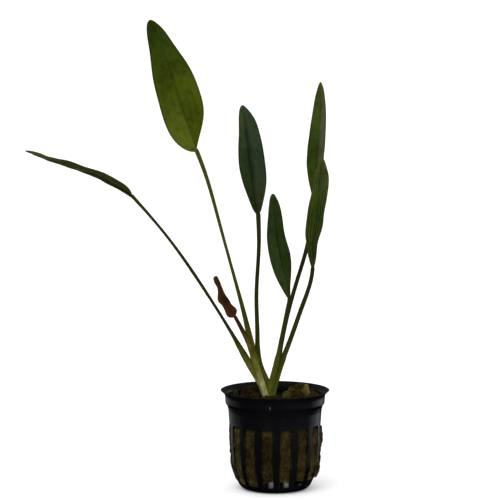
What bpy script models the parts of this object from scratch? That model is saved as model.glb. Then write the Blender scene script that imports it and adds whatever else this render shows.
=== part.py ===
"""Potted echinodorus: a 5 cm net pot, its stone wool, the plant's crown and seven leaves.

Millimetres are used below and turned to metres by MM. The origin is the centre of the pot's
base on the surface it stands on, +Z is up, the front is -Y and +X is to the right.
Angles round the pot start at the front and grow towards +X.
"""
import math

import bmesh
import bpy
import numpy as np
from mathutils import Matrix

MM = 0.001
GAP = 0.3

# Net pot
POT_HEIGHT = 50.0
RIM_RADIUS = 27.5
POT_STEPS = 45
# Radius and height of the wall's outer side, from the lip down to the base
POT_OUTSIDE = (
    (RIM_RADIUS, POT_HEIGHT), (25.7, 48.5), (25.3, 47.4), (25.1, 43.6), (24.2, 42.6), (23.6, 40.0),
    (23.2, 34.0), (23.2, 25.0), (22.2, 13.0), (19.8, 4.6), (18.7, 2.1), (17.6, 0.7), (15.7, 0.0),
)
# Radius and height of its inner side, from the floor up to the lip
POT_INSIDE = (
    (15.6, 1.1), (17.0, 1.7), (17.9, 2.7), (18.9, 4.9), (21.3, 13.2), (22.3, 25.0),
    (22.3, 34.0), (22.8, 40.2), (23.4, 42.8), (24.2, 43.9), (24.4, 47.4), (25.2, 48.9), (26.9, POT_HEIGHT),
)
FLOOR_TOP = POT_INSIDE[0][1]

# Slots in the wall and openings in the floor
SLOT_COUNT = 15
SLOT_PITCH = 360.0 / SLOT_COUNT
FIRST_RIB_ANGLE = 1.5
SLOT_HALF_ANGLE = 7.65
SLOT_BOTTOM = 2.6
SLOT_TOP = 33.4
SLOT_CORNER = 1.0
FLOOR_OPENING_INNER = 8.5
FLOOR_OPENING_OUTER = 13.6

# Stone wool
WOOL_TOP = 46.0
WOOL_FLOOR_MIDDLE = 4.2
WOOL_FLOOR_SLOPE = 0.08
WOOL_CLEARANCE = 0.4
WOOL_BULGE = 1.3
WOOL_BULGE_EDGE = 6.7
# Slots through which the wool swells out proud of the wall
PROUD_BULGES = {3: 2.2, 4: 2.0}
# Centre, half sizes and turn about Z of the torn lumps on top
WOOL_LUMPS = (
    ((12.2, 12.6, 47.0), (5.0, 2.2, 4.2), 12.0),
    ((5.6, 4.6, 46.0), (2.3, 1.6, 1.6), 0.0),
    ((-11.2, 14.6, 46.0), (3.2, 2.4, 3.8), -25.0),
    ((-20.4, 8.0, 46.2), (2.4, 2.0, 2.2), -20.0),
    ((19.6, 3.6, 46.4), (3.4, 4.2, 2.9), 8.0),
)
SOCKET_CENTRE = (-3.1, 0.1)
SOCKET_FLOOR = 35.8
SOCKET_FLOOR_RADIUS = 3.5
SOCKET_MOUTH = (6.6, 5.6)

# Crown: the leaf sheaths grown together on a short rootstock
ROOT = (-3.2, 0.2, 39.0)
ROOTSTOCK_RADIUS = 2.7
SHEATH_ROOT_RADIUS = 1.5
CROWN_TOP = 62.0

# Leaves. Each stalk point is x, y, z and radius; each midrib point is x, y, z. Widths are the
# half widths left and right of the midrib at five stations between the blade's base and tip,
# seen from the side that the blade faces. Fold is how far each half rises above flat.
LEAVES = {
    "tall_leaf": dict(
        stalk=((-5.0, 1.0, 47.0, 1.8), (-9.3, 2.0, 62.0, 1.6), (-13.5, 4.0, 80.0, 1.2), (-20.9, 8.0, 107.0, 0.65),
               (-29.2, 12.5, 137.0, 0.65), (-36.3, 15.0, 161.2, 0.9), (-39.5, 15.6, 169.5, 1.0)),
        midrib=((-42.8, 17.2, 179.1), (-50.6, 21.5, 202.5), (-58.3, 26.8, 224.5), (-63.6, 30.0, 235.5)),
        left=(7.8, 10.4, 10.2, 7.2, 3.9), right=(2.4, 9.9, 10.8, 6.5, 3.2),
        facing=((0.15, -1.0, 0.0), (0.0, -1.0, -0.1)), fold=7.0, colour=(0.045, 0.075, 0.012)),
    "arching_leaf": dict(
        stalk=((-5.7, -0.5, 47.0, 1.6), (-12.2, -1.6, 62.4, 1.6), (-20.9, -3.2, 78.0, 0.9), (-37.8, -6.5, 105.8, 0.7),
               (-54.7, -9.0, 130.4, 0.6), (-64.6, -10.5, 142.6, 0.65), (-71.0, -11.3, 149.7, 0.8)),
        midrib=((-77.3, -12.5, 153.6), (-88.8, -15.0, 160.0), (-106.0, -18.7, 166.4), (-123.5, -22.4, 173.1)),
        left=(6.8, 8.0, 7.2, 5.2, 2.0), right=(7.2, 7.9, 7.0, 4.9, 1.8),
        facing=((0.0, -0.12, 1.0), (0.0, -0.12, 1.0)), fold=13.0, colour=(0.03, 0.045, 0.01)),
    "upright_leaf": dict(
        stalk=((-3.4, 2.0, 47.0, 1.5), (-7.5, 5.0, 62.0, 1.3), (-8.9, 6.4, 76.6, 1.05), (-9.3, 8.0, 97.8, 0.9),
               (-8.2, 9.5, 123.5, 0.9), (-8.6, 10.2, 138.1, 1.1)),
        midrib=((-11.2, 11.8, 154.6), (-13.4, 14.0, 170.6), (-16.4, 19.0, 193.0)),
        left=(2.5, 4.6, 5.8, 3.9, 2.1), right=(2.7, 6.2, 7.8, 6.2, 3.5),
        facing=((0.25, -1.0, 0.0), (0.1, -1.0, 0.0)), fold=9.0, colour=(0.014, 0.028, 0.012)),
    "withered_leaf": dict(
        stalk=((-5.4, -2.2, 47.0, 1.3), (-9.4, -4.2, 62.9, 1.1), (-12.9, -5.2, 74.0, 1.0), (-20.0, -6.8, 88.3, 0.8)),
        midrib=((-22.9, -7.2, 92.4), (-25.9, -7.6, 97.3), (-28.2, -8.2, 103.5), (-29.7, -8.0, 109.4)),
        left=(3.2, 2.3, 2.6, 0.6, 1.5), right=(2.2, 2.4, 2.0, 1.5, 1.2),
        facing=((0.2, -1.0, 0.3), (0.0, -1.0, 0.3)), fold=22.0, colour=(0.07, 0.03, 0.012)),
    "short_leaf": dict(
        stalk=((-2.2, -1.4, 47.0, 1.4), (0.4, -3.8, 62.8, 1.2), (2.3, -4.8, 72.1, 1.05), (7.1, -6.8, 97.3, 0.85)),
        midrib=((5.1, -7.6, 107.8), (3.0, -8.2, 117.4), (0.4, -8.9, 132.0), (-1.2, -9.0, 150.9)),
        left=(2.3, 4.8, 5.4, 3.6, 1.8), right=(1.1, 3.7, 4.9, 3.9, 2.1),
        facing=((-0.1, -1.0, 0.0), (-0.1, -1.0, 0.0)), fold=10.0, colour=(0.02, 0.035, 0.01)),
    "rear_leaf": dict(
        stalk=((-1.6, 1.6, 47.0, 1.6), (1.0, 3.2, 61.7, 1.4), (4.4, 5.0, 79.8, 1.1), (11.8, 8.0, 107.0, 0.9),
               (16.1, 9.4, 121.8, 0.9), (19.2, 10.8, 141.0, 0.9)),
        midrib=((20.9, 12.6, 157.0), (21.9, 15.0, 172.0), (23.0, 18.0, 187.0), (23.1, 22.0, 204.5)),
        left=(1.2, 4.9, 6.7, 5.1, 1.9), right=(2.2, 5.0, 5.7, 4.4, 2.2),
        facing=((-0.75, -0.66, 0.0), (-0.75, -0.66, 0.0)), fold=10.0, colour=(0.025, 0.045, 0.01)),
    "front_leaf": dict(
        stalk=((-0.6, -0.2, 47.0, 1.5), (2.8, -1.2, 62.4, 1.35), (7.1, -2.4, 74.8, 1.1), (13.5, -4.6, 93.4, 1.0),
               (18.5, -6.5, 109.4, 0.9), (18.8, -6.8, 112.7, 0.9)),
        midrib=((19.0, -8.0, 122.4), (20.3, -10.0, 136.8), (21.6, -12.0, 150.5), (23.1, -15.0, 169.3)),
        left=(1.6, 4.1, 4.5, 3.4, 1.9), right=(1.3, 1.9, 3.9, 4.7, 2.7),
        facing=((-0.25, -1.0, 0.0), (-0.25, -1.0, 0.0)), fold=12.0, colour=(0.03, 0.05, 0.01)),
}
STALK_SAMPLES = 14
BLADE_THICKNESS = 0.7
BLADE_LENGTH_CELLS = 14
BLADE_WIDTH_CELLS = 4
LEAST_HALF_WIDTH = 0.35


def clear_objects():
    """Empty the scene, so that the script gives the same result each run."""
    for obj in list(bpy.data.objects):
        bpy.data.objects.remove(obj, do_unlink=True)


def make_collection(name):
    """A collection of this name under the scene."""
    collection = bpy.data.collections.new(name)
    bpy.context.scene.collection.children.link(collection)
    return collection


def make_material(name, colour, roughness):
    """A Principled material of one colour."""
    material = bpy.data.materials.new(name)
    material.use_nodes = True
    shader = material.node_tree.nodes["Principled BSDF"]
    shader.inputs["Base Color"].default_value = (*colour, 1.0)
    shader.inputs["Roughness"].default_value = roughness
    shader.inputs["Metallic"].default_value = 0.0
    return material


def add_object(name, mesh, collection, material=None):
    """A mesh object in a collection, with its material."""
    obj = bpy.data.objects.new(name, mesh)
    collection.objects.link(obj)
    if material:
        mesh.materials.append(material)
    return obj


def mesh_from(bm, name, smooth_angle=35.0):
    """Finish a bmesh as a mesh with outward faces, shaded smooth up to an angle."""
    bmesh.ops.recalc_face_normals(bm, faces=bm.faces)
    mesh = bpy.data.meshes.new(name)
    bm.to_mesh(mesh)
    bm.free()
    mesh.shade_smooth()
    mesh.set_sharp_from_angle(angle=math.radians(smooth_angle))
    return mesh


def boolean(obj, other, operation):
    """Cut or join an object with another by the exact solver."""
    modifier = obj.modifiers.new(other.name, "BOOLEAN")
    modifier.operation = operation
    modifier.solver = "EXACT"
    modifier.object = other


def as_cutter(obj):
    """Mark an object as a tool that shapes others and isn't part of the plant."""
    obj.hide_render = True
    obj.display_type = "WIRE"
    return obj


def polar(radius, angle, height):
    """Point at a radius and height, at an angle in degrees from the front towards +X."""
    turn = math.radians(angle)
    return (radius * math.sin(turn) * MM, -radius * math.cos(turn) * MM, height * MM)


def add_wedge(bm, angle, half_angle, radii, heights, corner=0.0):
    """A block between two radial planes, with its four radial edges rounded by corner."""
    block = bmesh.ops.create_cube(bm, size=1.0)["verts"]
    radial_edges = [e for e in {e for v in block for e in v.link_edges}
                    if abs(e.verts[0].co.x - e.verts[1].co.x) > 0.5]
    for vert in block:
        across, up = vert.co.y, vert.co.z
        radius = radii[0] if vert.co.x < 0 else radii[1]
        height = heights[0] if up < 0 else heights[1]
        vert.co = polar(radius, angle + 2.0 * across * half_angle, height)
    if corner:
        bmesh.ops.bevel(bm, geom=radial_edges, offset=corner * MM, segments=2, profile=0.5, affect="EDGES")


def slot_angles():
    """Middle angle of each slot."""
    return [FIRST_RIB_ANGLE + SLOT_PITCH * (k + 0.5) for k in range(SLOT_COUNT)]


def net_pot(parts, tools):
    """A turned wall and floor, with wedge slots cut between its ribs."""
    outline = [(0.0, FLOOR_TOP), *POT_INSIDE, *POT_OUTSIDE, (0.0, 0.0)]
    points = [(radius * MM, 0.0, height * MM) for radius, height in outline]
    mesh = bpy.data.meshes.new("net_pot")
    mesh.from_pydata(points, [(i, i + 1) for i in range(len(points) - 1)], [])
    pot = add_object("net_pot", mesh, parts, make_material("pot_plastic", (0.006, 0.007, 0.009), 0.3))
    screw = pot.modifiers.new("turned", "SCREW")
    screw.steps = POT_STEPS
    screw.render_steps = POT_STEPS
    screw.use_merge_vertices = True
    screw.merge_threshold = 0.00001
    screw.use_smooth_shade = True

    bm = bmesh.new()
    for angle in slot_angles():
        add_wedge(bm, angle, SLOT_HALF_ANGLE, (10.0, 30.0), (SLOT_BOTTOM, SLOT_TOP), SLOT_CORNER)
        add_wedge(bm, angle, SLOT_HALF_ANGLE, (FLOOR_OPENING_INNER, FLOOR_OPENING_OUTER), (-1.0, FLOOR_TOP + 1.0))
    boolean(pot, as_cutter(add_object("pot_slots", mesh_from(bm, "pot_slots"), tools)), "DIFFERENCE")


def inner_radius(height):
    """Radius of the pot's inner side at a height."""
    radii, heights = zip(*POT_INSIDE)
    return float(np.interp(height, heights, radii))


def wool_columns():
    """Angle of each column of points round the wool, and how far it swells into its slot."""
    columns = []
    for slot, middle in enumerate(slot_angles()):
        bulge = PROUD_BULGES.get(slot, WOOL_BULGE)
        edge = WOOL_BULGE_EDGE
        for offset, share in ((-edge - 0.15, 0.0), (-edge, 0.7), (0.0, 1.0), (edge, 0.7), (edge + 0.15, 0.0)):
            columns.append((middle + offset, share * bulge))
    return columns


def stone_wool(parts, tools):
    """A plug that fills the pot, swells out through its slots and has torn lumps on top."""
    columns = wool_columns()
    side_heights = (8.0, 13.5, 22.0, SLOT_TOP - 1.8)
    top_heights = (SLOT_TOP - GAP, 42.4, 44.2, WOOL_TOP)
    rows = 1 + len(side_heights) + len(top_heights)
    bm = bmesh.new()
    bmesh.ops.create_grid(bm, x_segments=len(columns), y_segments=rows, size=1.0)
    for vert in bm.verts:
        column = round((vert.co.x + 1.0) / 2.0 * len(columns)) % len(columns)
        row = round((vert.co.y + 1.0) / 2.0 * rows)
        angle, bulge = columns[column]
        base = WOOL_FLOOR_MIDDLE + WOOL_FLOOR_SLOPE * 19.0 * math.sin(math.radians(angle))
        height = (base, max(base + 1.2, SLOT_BOTTOM + 1.4), *side_heights, *top_heights)[row]
        radius = inner_radius(height) - WOOL_CLEARANCE
        if 0 < row <= 1 + len(side_heights):
            radius += bulge
        vert.co = polar(radius, angle, height)
    bmesh.ops.remove_doubles(bm, verts=bm.verts, dist=0.00001)
    bmesh.ops.holes_fill(bm, edges=[e for e in bm.edges if e.is_boundary], sides=0)
    material = make_material("stone_wool", (0.045, 0.034, 0.01), 0.95)
    wool = add_object("stone_wool", mesh_from(bm, "stone_wool", 60.0), parts, material)

    for number, (centre, half_sizes, turn) in enumerate(WOOL_LUMPS):
        bm = bmesh.new()
        place = Matrix.Translation([c * MM for c in centre]) @ Matrix.Rotation(math.radians(turn), 4, "Z")
        size = Matrix.Diagonal([s * MM for s in half_sizes] + [1.0])
        bmesh.ops.create_uvsphere(bm, u_segments=10, v_segments=6, radius=1.0, matrix=place @ size)
        name = f"wool_lump_{number + 1}"
        boolean(wool, as_cutter(add_object(name, mesh_from(bm, name), tools)), "UNION")

    bm = bmesh.new()
    mouth_x, mouth_y = SOCKET_MOUTH
    depth = WOOL_TOP + 1.0 - SOCKET_FLOOR
    place = Matrix.Translation([SOCKET_CENTRE[0] * MM, SOCKET_CENTRE[1] * MM, (SOCKET_FLOOR + depth / 2) * MM])
    size = Matrix.Diagonal([mouth_x * MM, mouth_y * MM, MM, 1.0])
    bmesh.ops.create_cone(bm, cap_ends=True, segments=20, radius1=SOCKET_FLOOR_RADIUS / mouth_y, radius2=1.0,
                          depth=depth, matrix=place @ size)
    boolean(wool, as_cutter(add_object("crown_socket", mesh_from(bm, "crown_socket"), tools)), "DIFFERENCE")


def smooth_path(points, samples):
    """Natural cubic spline through points, by its length: evenly spaced samples of every column."""
    points = np.asarray(points, dtype=float)
    steps = np.linalg.norm(np.diff(points[:, :3], axis=0), axis=1)
    length = np.concatenate([[0.0], np.cumsum(steps)])
    count = len(points)
    system = np.eye(count)
    bends = np.zeros_like(points)
    for i in range(1, count - 1):
        before, after = steps[i - 1], steps[i]
        system[i, i - 1:i + 2] = (before, 2.0 * (before + after), after)
        bends[i] = 6.0 * ((points[i + 1] - points[i]) / after - (points[i] - points[i - 1]) / before)
    bends = np.linalg.solve(system, bends)
    at = np.linspace(0.0, length[-1], samples) if np.isscalar(samples) else np.asarray(samples) * length[-1]
    span = np.clip(np.searchsorted(length, at, side="right") - 1, 0, count - 2)
    width = steps[span][:, None]
    left = (length[span + 1] - at)[:, None]
    right = (at - length[span])[:, None]
    cubic = (bends[span] * left ** 3 + bends[span + 1] * right ** 3) / (6.0 * width)
    line = (points[span] / width - bends[span] * width / 6.0) * left
    return cubic + line + (points[span + 1] / width - bends[span + 1] * width / 6.0) * right


def tube_mesh(name, samples, collection):
    """A round tube along samples of x, y, z and radius, with welded caps, as a mesh object."""
    curve = bpy.data.curves.new(name, "CURVE")
    curve.dimensions = "3D"
    curve.twist_mode = "MINIMUM"
    curve.bevel_depth = MM
    curve.bevel_resolution = 2
    curve.use_fill_caps = True
    spline = curve.splines.new("POLY")
    spline.points.add(len(samples) - 1)
    for point, (x, y, z, radius) in zip(spline.points, samples):
        point.co = (x * MM, y * MM, z * MM, 1.0)
        point.radius = radius
    guide = bpy.data.objects.new(name, curve)
    collection.objects.link(guide)
    evaluated = guide.evaluated_get(bpy.context.evaluated_depsgraph_get())
    source = bpy.data.meshes.new_from_object(evaluated)
    bm = bmesh.new()
    bm.from_mesh(source)
    bpy.data.objects.remove(guide, do_unlink=True)
    bpy.data.meshes.remove(source)
    bmesh.ops.remove_doubles(bm, verts=bm.verts, dist=0.00001)
    return add_object(name, mesh_from(bm, name), collection)


def stalk_samples(leaf):
    """Samples of a leaf's axis from the rootstock up to the base of its blade."""
    return smooth_path([(*ROOT, SHEATH_ROOT_RADIUS), *leaf["stalk"]], 60)


def space_below(height, tools, name):
    """A box that takes away everything under a height round the crown."""
    bm = bmesh.new()
    size = Matrix.Diagonal([80.0 * MM, 40.0 * MM, 60.0 * MM, 1.0])
    bmesh.ops.create_cube(bm, size=1.0, matrix=Matrix.Translation((0.0, 0.0, (height - 30.0) * MM)) @ size)
    return as_cutter(add_object(name, mesh_from(bm, name), tools))


def space_above(height, tools, name):
    """A box that takes away everything over a height round the crown."""
    bm = bmesh.new()
    size = Matrix.Diagonal([80.0 * MM, 40.0 * MM, 60.0 * MM, 1.0])
    bmesh.ops.create_cube(bm, size=1.0, matrix=Matrix.Translation((0.0, 0.0, (height + 30.0) * MM)) @ size)
    return as_cutter(add_object(name, mesh_from(bm, name), tools))


def crown(parts, tools):
    """The rootstock and the seven leaf sheaths that rise from it, joined in one body."""
    bm = bmesh.new()
    bmesh.ops.create_uvsphere(bm, u_segments=12, v_segments=8, radius=ROOTSTOCK_RADIUS * MM,
                              matrix=Matrix.Translation([c * MM for c in ROOT]))
    material = make_material("leaf_sheaths", (0.12, 0.14, 0.035), 0.45)
    body = add_object("crown", mesh_from(bm, "crown"), parts, material)
    for name, leaf in LEAVES.items():
        samples = stalk_samples(leaf)
        sheath = samples[samples[:, 2] < CROWN_TOP + 3.0]
        kept = np.linspace(0, len(sheath) - 1, 6).round().astype(int)
        boolean(body, as_cutter(tube_mesh(f"{name}_sheath", sheath[kept], tools)), "UNION")
    boolean(body, space_above(CROWN_TOP - GAP / 2, tools, "crown_top"), "DIFFERENCE")


def stalk(name, leaf, parts, foot, material):
    """A tapering round stalk from the crown's top to the blade."""
    samples = stalk_samples(leaf)
    above = samples[samples[:, 2] > CROWN_TOP - 3.0]
    kept = np.linspace(0, len(above) - 1, STALK_SAMPLES).round().astype(int)
    obj = tube_mesh(f"{name}_stalk", above[kept], parts)
    obj.data.materials.append(material)
    boolean(obj, foot, "DIFFERENCE")


def half_width(stations, along):
    """Half width along a blade: nought at both ends, smooth through the five stations."""
    turns = np.arccos(1.0 - 2.0 * np.clip(along, 0.0, 1.0)) / math.pi
    widths = np.array([[6.0 * i, 0.0, 0.0, w] for i, w in enumerate((0.0, *stations, 0.0))])
    return np.maximum(smooth_path(widths, turns)[:, 3], LEAST_HALF_WIDTH)


def blade(name, leaf, parts, material):
    """A sheet across the midrib, as wide as the stations say, folded up a little on both sides."""
    stalk_end = np.array(leaf["stalk"][-1][:3])
    ahead = np.array(leaf["midrib"][0]) - stalk_end
    base = stalk_end + ahead / np.linalg.norm(ahead) * GAP
    along = (1.0 - np.cos(np.pi * np.arange(BLADE_LENGTH_CELLS + 1) / BLADE_LENGTH_CELLS)) / 2.0
    middle = smooth_path([base, *leaf["midrib"]], along)
    ahead = np.gradient(middle, axis=0)
    ahead /= np.linalg.norm(ahead, axis=1)[:, None]
    facing = np.outer(1.0 - along, leaf["facing"][0]) + np.outer(along, leaf["facing"][1])
    across = np.cross(ahead, facing)
    across /= np.linalg.norm(across, axis=1)[:, None]
    outward = np.cross(across, ahead)
    fold = math.radians(leaf["fold"])
    widths = {-1: half_width(leaf["left"], along), 1: half_width(leaf["right"], along)}

    bm = bmesh.new()
    bmesh.ops.create_grid(bm, x_segments=BLADE_LENGTH_CELLS, y_segments=BLADE_WIDTH_CELLS, size=1.0)
    for vert in bm.verts:
        i = round((vert.co.x + 1.0) / 2.0 * BLADE_LENGTH_CELLS)
        side = vert.co.y
        reach = abs(side) * widths[1 if side > 0 else -1][i]
        sideways = math.copysign(reach * math.cos(fold), side) * across[i]
        vert.co = (middle[i] + sideways + reach * math.sin(fold) * outward[i]) * MM
    obj = add_object(f"{name}_blade", mesh_from(bm, f"{name}_blade"), parts, material)
    solid = obj.modifiers.new("thickness", "SOLIDIFY")
    solid.thickness = BLADE_THICKNESS * MM
    solid.offset = 0.0


def main():
    clear_objects()
    parts = make_collection("potted_echinodorus")
    tools = make_collection("tools")
    net_pot(parts, tools)
    stone_wool(parts, tools)
    crown(parts, tools)
    foot = space_below(CROWN_TOP + GAP / 2, tools, "stalk_foot")
    for name, leaf in LEAVES.items():
        material = make_material(name, leaf["colour"], 0.45)
        stalk(name, leaf, parts, foot, material)
        blade(name, leaf, parts, material)


main()
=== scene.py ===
"""Looks of the potted echinodorus: net pot, stone wool, crown, stalks and leaves, with their light.

Millimetres are used below and turned to metres by MM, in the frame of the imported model: the origin
is the centre of the pot's base, +Z is up, the front is -Y and +X is to the right. Angles round the
pot start at the front and grow towards +X. Colours in whole numbers are display colours out of 255,
and the others are linear.
"""
import math

import bmesh
import bpy
import numpy as np
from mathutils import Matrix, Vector


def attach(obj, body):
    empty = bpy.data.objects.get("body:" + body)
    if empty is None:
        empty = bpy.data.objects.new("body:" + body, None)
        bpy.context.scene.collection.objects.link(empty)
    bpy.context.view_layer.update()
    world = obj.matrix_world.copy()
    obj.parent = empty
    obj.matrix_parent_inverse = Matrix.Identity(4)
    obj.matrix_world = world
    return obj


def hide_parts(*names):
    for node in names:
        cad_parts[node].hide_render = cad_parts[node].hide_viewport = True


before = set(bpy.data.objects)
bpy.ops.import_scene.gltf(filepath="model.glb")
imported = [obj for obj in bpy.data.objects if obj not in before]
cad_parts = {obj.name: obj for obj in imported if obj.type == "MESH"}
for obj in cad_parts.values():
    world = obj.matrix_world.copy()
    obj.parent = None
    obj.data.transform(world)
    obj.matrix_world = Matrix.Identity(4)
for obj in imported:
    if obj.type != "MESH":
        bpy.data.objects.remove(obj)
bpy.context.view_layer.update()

MM = 0.001
# Distance under which a mesh's points are merged
MERGE_DISTANCE = 0.001
RIPPLE_WAVES = 18

# Camera, room and lamp
CAMERA_PLACE = (-12.638, -1496.597, 305.215)
CAMERA_PITCH = 7.0
CAMERA_LENS = 216.0
CAMERA_SENSOR = 36.0
CAMERA_RANGE = (50.0, 60000.0)
DOME_LEVEL = 1.3
DOME_GLOSS = 0.06
LAMP_PLACE = (-350.0, -700.0, 1250.0)
LAMP_TARGET = (0.0, 0.0, 100.0)
LAMP_SIDE = 700.0
LAMP_POWER = 5.0
FLOOR_REACH = 12000.0
# Bright places of the room, as stops of direction and brightness along its axes: the dome, a panel
# behind on each side, a low patch between them and a dim band low in front
ROOM = (
    {"Z": ((0.05, 0.0), (0.55, 1.0))},
    {"X": ((-0.98, 0.17), (-0.6, 0.3), (-0.4, 0.3), (-0.24, 0.0), (0.4, 0.0), (0.65, 0.6), (0.98, 0.42)),
     "Y": ((-0.1, 0.0), (0.25, 1.0)),
     "Z": ((-0.4, 0.0), (-0.15, 1.0), (0.12, 1.0), (0.35, 0.0))},
    {"Z": ((0.05, 0.0), (0.13, 1.0), (0.24, 1.0), (0.34, 0.0)),
     "X": ((-0.2, 0.0), (-0.09, 0.7), (0.09, 0.7), (0.2, 0.0)),
     "Y": ((0.5, 0.0), (0.9, 1.0))},
    {"Z": ((-1.0, 0.4), (-0.6, 0.3), (-0.4, 0.2), (-0.22, 1.0), (-0.1, 1.0), (0.02, 0.0)),
     "X": ((-0.55, 0.02), (-0.31, 0.13), (-0.12, 0.05), (0.1, 0.05), (0.4, 0.1), (0.95, 0.1)),
     "Y": ((-0.3, 1.0), (0.2, 0.0))},
)

# Net pot
SLOT_COUNT = 15
SLOT_PITCH = 360.0 / SLOT_COUNT
FIRST_RIB_ANGLE = 1.5
SLOT_ANGLES = FIRST_RIB_ANGLE + SLOT_PITCH * (np.arange(SLOT_COUNT) + 0.5)
SLOT_HALF_ANGLE = 7.65
SLOT_HEIGHTS = (2.6, 33.4)
SLOT_CORNER = 1.0
SLOT_EDGE = 0.2
# Length along the outer profile past which the wall rises, and the wall's usual radius and thickness
WALL_START = 17.0
WALL_RADIUS = 22.0
WALL_THICKNESS = 0.9
FLOOR_OPENING = (8.5, 13.6)
PANEL_BORDER = 1.2
# Rows of points in the floor's middle, at the floor's edge and in the upper wall
BAND_ROWS = (6, 14, 60)
PROFILE_STEP = 0.05
POT_EASING = 0.35
# Gate mark on the collar: its angle, its radius and height, and its half sizes across, back and up
GATE_MARK_ANGLE = -6.3
GATE_MARK_PLACE = (25.1, 45.1)
GATE_MARK_SIZE = (0.28, 0.3, 0.9)
# Heights between which the lip grows dull
LIP_WEAR = (47.5, 49.5)
# Radius and height of the outer and the inner side, station by station from floor to lip
POT_OUTSIDE = (
    (0.0, 0.0), (15.0, 0.0), (16.9, 0.8), (18.3, 2.3), (19.7, 5.0), (22.2, 13.4), (23.2, 25.0),
    (23.2, 34.0), (23.6, 40.0), (24.2, 42.6), (25.1, 43.6), (25.3, 47.4), (25.7, 48.6), (27.5, 50.25),
)
POT_INSIDE = (
    (0.0, 1.1), (14.9, 1.1), (16.3, 1.8), (17.5, 2.9), (18.8, 5.3), (21.3, 13.6), (22.3, 25.0),
    (22.3, 34.0), (22.8, 40.2), (23.4, 42.8), (24.2, 43.9), (24.4, 47.4), (25.2, 49.0), (26.9, 50.25),
)

# Stone wool
WOOL_MIDDLE = 6.4
WOOL_SHOULDER = 43.6
WOOL_TOP = 43.2
WOOL_COLUMNS = 320
WOOL_CLEARANCE = 0.4
WOOL_BULGE = 1.3
# Angles off a slot's middle between which the wool comes out from behind the wall
BULGE_EDGE = (7.4, 6.0)
# Slots through which the wool swells more, or less
SLOT_BULGES = {3: 2.3, 4: 2.1, 10: 1.2, 11: 1.2}
# Slots in which the wool is darker, below nought, or paler
SLOT_TONES = {0: 0.07, 1: 0.04, 2: 0.3, 3: 0.4, 12: 0.35, 13: -0.35, 14: -0.1}
# Pale torn place low on the right: its angle and height, its reach in each, and how pale it is
PALE_PLACE = (64.0, 7.5, 14.0, 8.0, 1.3)
# Angle and height of the underside round the pot's wall
WOOL_UNDERSIDE = (
    (-180.0, 5.6), (-130.0, 4.6), (-90.0, 3.2), (-50.0, 3.0), (-27.0, 3.1), (-20.0, 5.4), (-3.0, 7.0),
    (2.0, 7.3), (7.0, 7.0), (21.0, 6.1), (30.0, 7.0), (45.0, 6.4), (60.0, 6.2), (90.0, 5.8), (130.0, 5.4),
    (180.0, 5.6),
)
# Ripples of its side, its underside and its top: height, wavelength and seed
SIDE_RIPPLES = ((0.26, 9.0, 3), (0.16, 3.6, 4), (0.09, 1.7, 5))
FOOT_RIPPLES = ((0.35, 5.0, 7),)
TOP_RIPPLES = ((0.5, 9.0, 11), (0.14, 4.0, 12), (0.06, 1.8, 13))
# Lumps on the wool's top: centre, half sizes, turn in degrees, height and, for a cup, how hollow
WOOL_LUMPS = (
    ((-3.0, -2.0), (8.0, 6.0), 0.0, 2.4), ((-2.0, -4.9), (5.2, 2.4), 0.0, 2.7),
    ((-12.5, 9.0), (8.5, 7.5), -30.0, 3.0), ((-12.2, 13.8), (5.6, 3.2), -14.0, 5.6),
    ((-20.4, 7.6), (1.9, 2.2), -20.0, 4.6), ((-8.5, 3.5), (3.0, 2.4), 20.0, 2.2),
    ((5.6, 4.2), (2.9, 1.7), 0.0, 6.2), ((6.5, 9.0), (2.5, 2.4), 0.0, 4.4),
    ((12.7, 11.8), (4.9, 5.0), -35.0, 9.6, 0.85), ((17.4, 8.2), (2.8, 2.6), 30.0, 2.2),
    ((20.2, 4.2), (3.4, 4.2), 8.0, 5.6), ((17.6, 0.5), (2.6, 3.4), -10.0, 3.2),
)
# Paler and, below nought, darker places on the wool's top, painted light on its high torn edges and painted
# shade in its hollows: centre, reach and how pale
WOOL_TONES = (
    (5.6, 4.8, 2.4, 0.9), (16.8, 10.6, 3.9, 1.0), (6.9, 9.2, 2.2, 0.3), (11.9, 13.4, 2.9, -0.7),
    (-12.0, 10.0, 6.5, -1.1), (-12.2, 15.0, 3.0, 0.6), (-20.4, 7.6, 2.8, -0.1), (-2.0, -5.0, 4.6, -0.8),
    (19.0, 6.0, 3.5, 0.3),
)
# Centre and half sizes of the dip in its top round the crown
CROWN_AT = (-3.1, 0.1)
CROWN_SOCKET = (5.0, 4.2)

# Loose strands of the wool
FIBRE_COUNT = 6000
FIBRE_STEPS = 6
FIBRE_SIDES = 3
FIBRE_RADII = (0.028, 0.068)
# Share of them that lie on its side, the lengths there and on its top, and how far out its top goes
SIDE_SHARE = 0.62
SIDE_LENGTHS = (1.6, 6.0)
TOP_LENGTHS = (1.5, 5.5)
TOP_REACH = 22.2

# Crown and stalks
ROOT = (-3.2, 0.2, 39.0)
ROOTSTOCK_RADIUS = 2.7
SHEATH_ROOT_RADIUS = 1.5
# Heights between which a sheath's section, round above, grows cupped
SHEATH_CUPPED = (70.0, 50.0)
# Height at which the stalks start inside their sheaths, and what is added to the radii of their points
STALK_START = 60.5
STALK_FULLNESS = 0.11
STALK_ROWS = 130
STALK_SIDES = 24
# Where a blade starts past its stalk's last point, and how much further the stalk reaches into it
GAP = 0.3
STALK_OVERLAP = 0.15

# Blades
BLADE_ROWS = 150
BLADE_HALF_COLUMNS = 22
BLADE_THICKNESS = 0.42
MARGIN_THICKNESS = 0.14
VEIN_DEPTH = 0.1
VEIN_REACH = 0.35
RIB_DEPTH = 0.3
RIB_REACH = 0.5
CRINKLE_LENGTH = 8.0
# How far the right margin's wave is shifted from the left one's, in radians
WAVE_SHIFT = 1.9
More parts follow.
